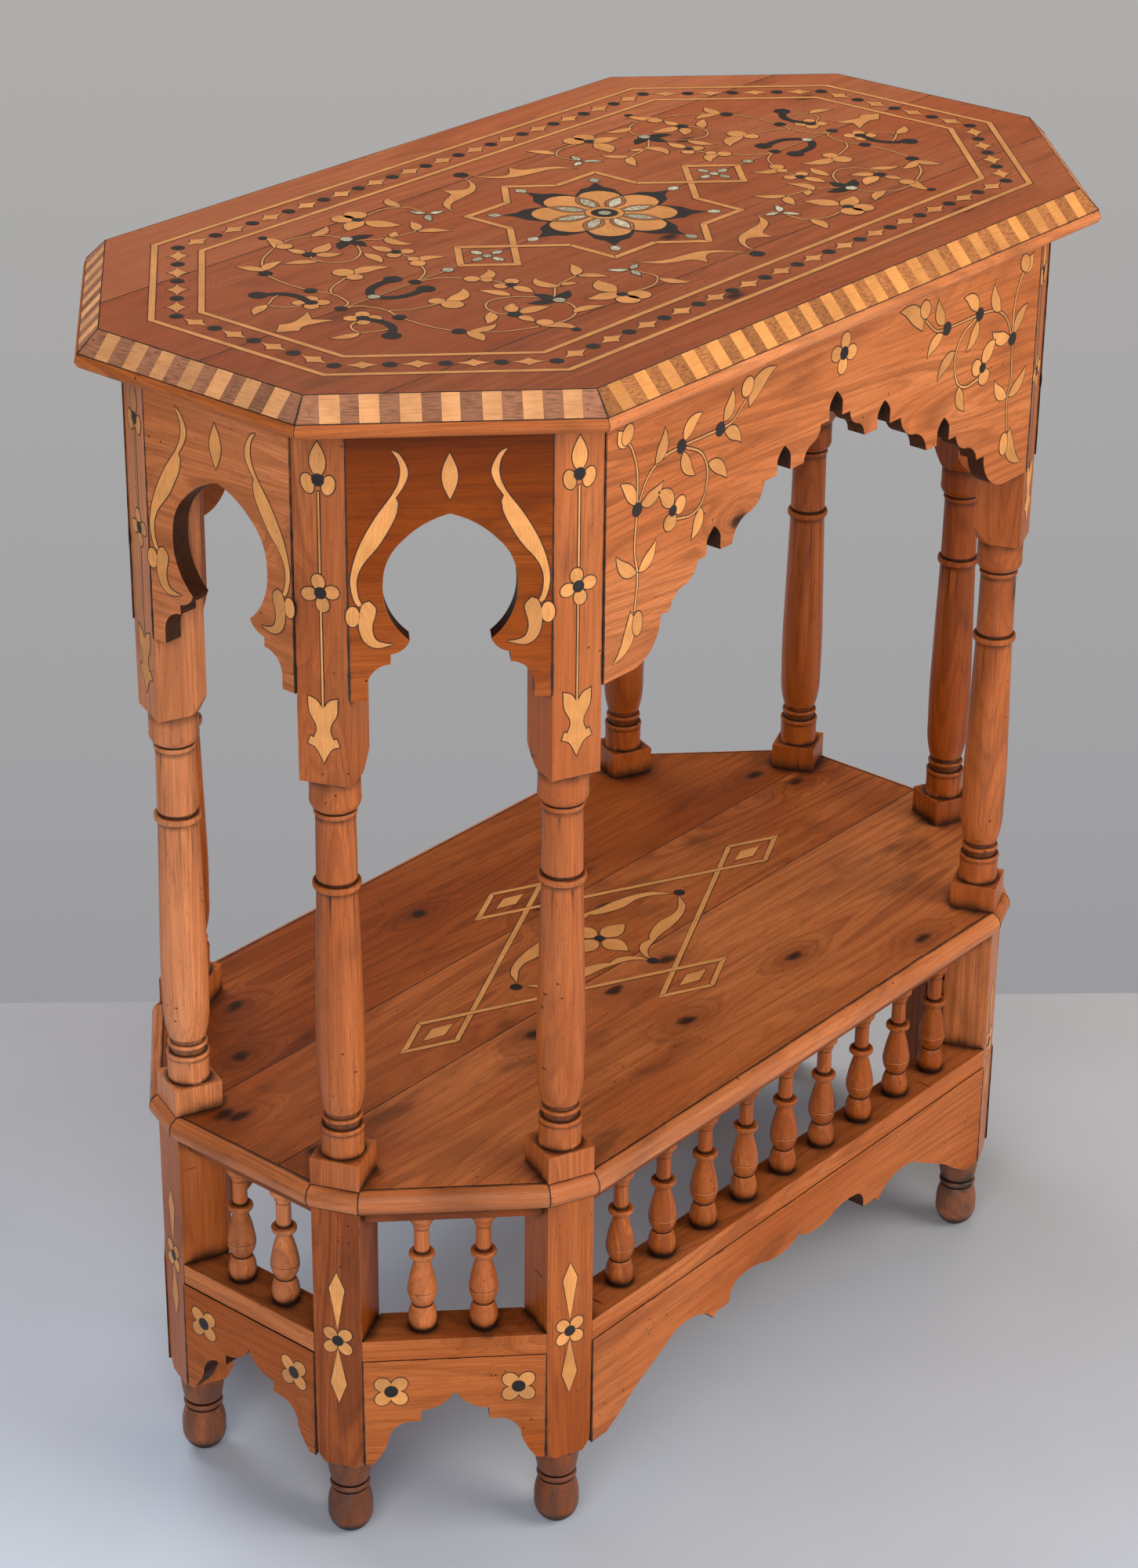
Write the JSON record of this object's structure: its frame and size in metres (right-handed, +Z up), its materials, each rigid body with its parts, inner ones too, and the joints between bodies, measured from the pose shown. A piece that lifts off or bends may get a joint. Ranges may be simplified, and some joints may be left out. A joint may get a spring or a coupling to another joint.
{
  "type": "two-tier side table",
  "caption": "Long two-tier inlaid wooden side table with octagonal ends, turned columns, arched aprons, a lower shelf and a baluster gallery on ball feet.",
  "frame": {"origin": "on the floor under the middle of the top", "axes": "+Z up, X along the table, -Y towards the long front side"},
  "size_m": [0.672, 0.378, 0.72],
  "materials": {
    "frame_wood": "waxed reddish brown hardwood with dark wax in the grooves",
    "top_wood": "waxed reddish brown boards, polished",
    "edge_wood": "waxed edge strip, bevel faced with light and dark blocks",
    "shelf_wood": "waxed reddish brown boards with knots",
    "light_inlay": "pale fruitwood inlay, flush and waxed",
    "dark_inlay": "dark brown wood inlay, flush and waxed",
    "black_inlay": "blackened wood inlay",
    "pearl_inlay": "shell, glossy"
  },
  "bodies": {
    "root": {"balusters": "frame_wood", "column_back_left": "frame_wood", "column_back_right": "frame_wood", "column_front_left": "frame_wood", "column_front_right": "frame_wood", "column_left_back": "frame_wood", "column_left_front": "frame_wood", "column_right_back": "frame_wood", "column_right_front": "frame_wood", "head_rails": "frame_wood", "lower_apron_back": "frame_wood", "lower_apron_back_left": "frame_wood", "lower_apron_back_right": "frame_wood", "lower_apron_front": "frame_wood", "lower_apron_front_left": "frame_wood", "lower_apron_front_right": "frame_wood", "lower_apron_left": "frame_wood", "lower_apron_right": "frame_wood", "lower_post_back_left": "frame_wood", "lower_post_back_right": "frame_wood", "lower_post_front_left": "frame_wood", "lower_post_front_right": "frame_wood", "lower_post_left_back": "frame_wood", "lower_post_left_front": "frame_wood", "lower_post_right_back": "frame_wood", "lower_post_right_front": "frame_wood", "rail_back": "frame_wood", "rail_back_left": "frame_wood", "rail_back_right": "frame_wood", "rail_front": "frame_wood", "rail_front_left": "frame_wood", "rail_front_right": "frame_wood", "rail_left": "frame_wood", "rail_right": "frame_wood", "shelf_board_1": "shelf_wood", "shelf_board_2": "shelf_wood", "shelf_board_3": "shelf_wood", "shelf_nosing": "frame_wood", "shelf_tongues": "shelf_wood", "top_board_1": "top_wood", "top_board_2": "top_wood", "top_board_3": "top_wood", "top_board_4": "top_wood", "top_edge_back": "edge_wood", "top_edge_back_left": "edge_wood", "top_edge_back_right": "edge_wood", "top_edge_front": "edge_wood", "top_edge_front_left": "edge_wood", "top_edge_front_right": "edge_wood", "top_edge_left": "edge_wood", "top_edge_right": "edge_wood", "top_tongues": "top_wood", "upper_apron_back": "frame_wood", "upper_apron_back_left": "frame_wood", "upper_apron_back_right": "frame_wood", "upper_apron_front": "frame_wood", "upper_apron_front_left": "frame_wood", "upper_apron_front_right": "frame_wood", "upper_apron_left": "frame_wood", "upper_apron_right": "frame_wood"}
  },
  "joints": []
}
